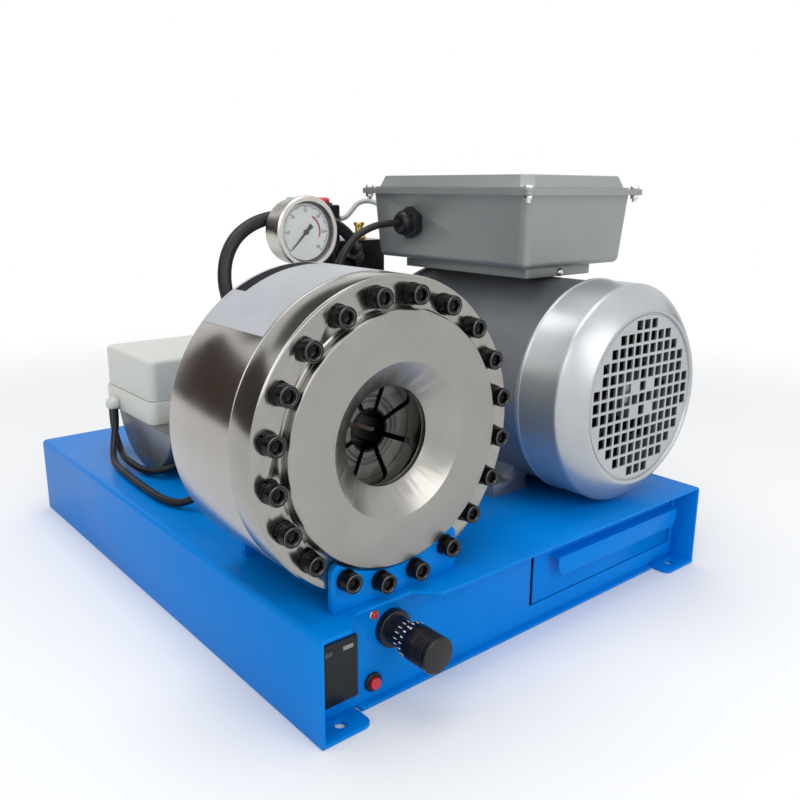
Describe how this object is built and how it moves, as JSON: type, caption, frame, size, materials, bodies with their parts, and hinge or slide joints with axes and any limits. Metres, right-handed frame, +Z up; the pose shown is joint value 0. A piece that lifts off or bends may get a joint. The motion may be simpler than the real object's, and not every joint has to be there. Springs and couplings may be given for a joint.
{
  "type": "hose crimping machine",
  "caption": "Hydraulic hose crimping machine: ring of radial dies in a round head, electric motor with pump, size dial and drawer on a sheet metal base.",
  "frame": {"origin": "centre of the four foot holes, on the floor under the base", "axes": "+X right along the front, +Y to the back, +Z up; the hose goes in along +Y"},
  "size_m": [0.5408, 0.652, 0.4165],
  "materials": {
    "blue_paint": "gloss",
    "turned_steel": "turned",
    "hardened_steel": "ground",
    "black_oxide": "satin",
    "silver_paint": "satin paint",
    "cast_aluminium": "cast",
    "zinc_steel": "bright",
    "brass": "bright",
    "gauge_steel": "brushed",
    "gauge_glass": "clear",
    "grey_paint": "satin",
    "white_plastic": "satin",
    "black_plastic": "satin",
    "black_anodised": "anodised",
    "black_rubber": "matte",
    "grey_rubber": "matte",
    "red_plastic": "gloss",
    "green_plastic": "gloss"
  },
  "bodies": {
    "machine": {"base_shell": "blue_paint", "front_panel": "blue_paint", "rear_panel": "blue_paint", "drawer_runners": "zinc_steel", "head_bracket": "blue_paint", "head_cradle": "blue_paint", "cylinder_body": "turned_steel", "front_flange": "turned_steel", "nose_ring": "turned_steel", "flange_screws": "black_oxide", "spring_washers": "black_oxide", "motor_housing": "silver_paint", "motor_foot_bolts": "zinc_steel", "drive_end_shield": "silver_paint", "fan_cover": "silver_paint", "bell_housing": "cast_aluminium", "gear_pump": "cast_aluminium", "valve_block": "black_oxide", "brass_fitting": "brass", "button_station": "black_plastic", "terminal_box": "silver_paint", "terminal_lid": "silver_paint", "lid_screws": "zinc_steel", "box_saddle": "silver_paint", "lead_glands": "black_plastic", "gauge_manifold": "black_oxide", "gauge_case": "gauge_steel", "gauge_lens": "gauge_glass", "oil_tank": "grey_paint", "control_box": "white_plastic", "control_lid": "white_plastic", "box_gland": "white_plastic", "display": "black_plastic", "indicator_lamp": "red_plastic", "push_ring": "black_plastic", "dial_base": "black_anodised", "cable_grommets": "black_rubber", "motor_lead": "black_rubber", "signal_lead_a": "black_rubber", "signal_lead_b": "black_rubber", "station_lead": "grey_rubber", "pressure_hose": "black_rubber"},
    "drawer_body": {"drawer": "blue_paint"},
    "ram": {"ram_piston": "hardened_steel"},
    "rotor": {"motor_shaft": "hardened_steel", "fan": "black_plastic"},
    "pointer": {"gauge_pointer": "black_plastic"},
    "panel_push": {"push_button": "red_plastic"},
    "thimble": {"dial_thimble": "black_anodised", "dial_spindle": "hardened_steel"},
    "green_push": {"station_green_button": "green_plastic"},
    "red_push": {"station_red_button": "red_plastic"},
    "die_segment_1": {"die_1": "hardened_steel"},
    "die_segment_2": {"die_2": "hardened_steel"},
    "die_segment_3": {"die_3": "hardened_steel"},
    "die_segment_4": {"die_4": "hardened_steel"},
    "die_segment_5": {"die_5": "hardened_steel"},
    "die_segment_6": {"die_6": "hardened_steel"},
    "die_segment_7": {"die_7": "hardened_steel"},
    "die_segment_8": {"die_8": "hardened_steel"}
  },
  "joints": [
    {"name": "drawer_slide", "type": "slide", "parent": "machine", "child": "drawer_body", "axis": [0, -1, 0], "range_m": [0, 0.28]},
    {"name": "ram_slide", "type": "slide", "parent": "machine", "child": "ram", "axis": [0, -1, 0], "range_m": [0, 0.0185], "stiffness_N_per_m": 4000},
    {"name": "rotor_spin", "type": "hinge", "parent": "machine", "child": "rotor", "pos_m": [0.145, 0, 0.204], "axis": [0, 1, 0], "continuous": true},
    {"name": "pointer_turn", "type": "hinge", "parent": "machine", "child": "pointer", "pos_m": [-0.092, -0.065, 0.361], "axis": [0, 1, 0], "range_deg": [0, 270], "stiffness_Nm_per_rad": 0.001},
    {"name": "panel_push_slide", "type": "slide", "parent": "machine", "child": "panel_push", "axis": [0, 1, 0], "range_m": [0, 0.0025], "stiffness_N_per_m": 400},
    {"name": "dial_turn", "type": "hinge", "parent": "machine", "child": "thimble", "pos_m": [-0.164, -0.32, 0.06], "axis": [0, 1, 0], "range_deg": [-1080, 1080]},
    {"name": "green_button_slide", "type": "slide", "parent": "machine", "child": "green_push", "axis": [0, 0, -1], "range_m": [0, 0.003], "stiffness_N_per_m": 500},
    {"name": "red_button_slide", "type": "slide", "parent": "machine", "child": "red_push", "axis": [0, 0, -1], "range_m": [0, 0.003], "stiffness_N_per_m": 500},
    {"name": "die_1_slide", "type": "slide", "parent": "machine", "child": "die_segment_1", "axis": [-1, 0, 0], "range_m": [0, 0.005]},
    {"name": "die_2_slide", "type": "slide", "parent": "machine", "child": "die_segment_2", "axis": [-0.7071, 0, -0.7071], "range_m": [0, 0.005]},
    {"name": "die_3_slide", "type": "slide", "parent": "machine", "child": "die_segment_3", "axis": [0, 0, -1], "range_m": [0, 0.005]},
    {"name": "die_4_slide", "type": "slide", "parent": "machine", "child": "die_segment_4", "axis": [0.7071, 0, -0.7071], "range_m": [0, 0.005]},
    {"name": "die_5_slide", "type": "slide", "parent": "machine", "child": "die_segment_5", "axis": [1, 0, 0], "range_m": [0, 0.005]},
    {"name": "die_6_slide", "type": "slide", "parent": "machine", "child": "die_segment_6", "axis": [0.7071, 0, 0.7071], "range_m": [0, 0.005]},
    {"name": "die_7_slide", "type": "slide", "parent": "machine", "child": "die_segment_7", "axis": [0, 0, 1], "range_m": [0, 0.005]},
    {"name": "die_8_slide", "type": "slide", "parent": "machine", "child": "die_segment_8", "axis": [-0.7071, 0, 0.7071], "range_m": [0, 0.005]}
  ],
  "couplings": [
    {"joint": "die_1_slide", "follows": "ram_slide", "ratio": 0.26795},
    {"joint": "die_2_slide", "follows": "ram_slide", "ratio": 0.26795},
    {"joint": "die_3_slide", "follows": "ram_slide", "ratio": 0.26795},
    {"joint": "die_4_slide", "follows": "ram_slide", "ratio": 0.26795},
    {"joint": "die_5_slide", "follows": "ram_slide", "ratio": 0.26795},
    {"joint": "die_6_slide", "follows": "ram_slide", "ratio": 0.26795},
    {"joint": "die_7_slide", "follows": "ram_slide", "ratio": 0.26795},
    {"joint": "die_8_slide", "follows": "ram_slide", "ratio": 0.26795}
  ]
}
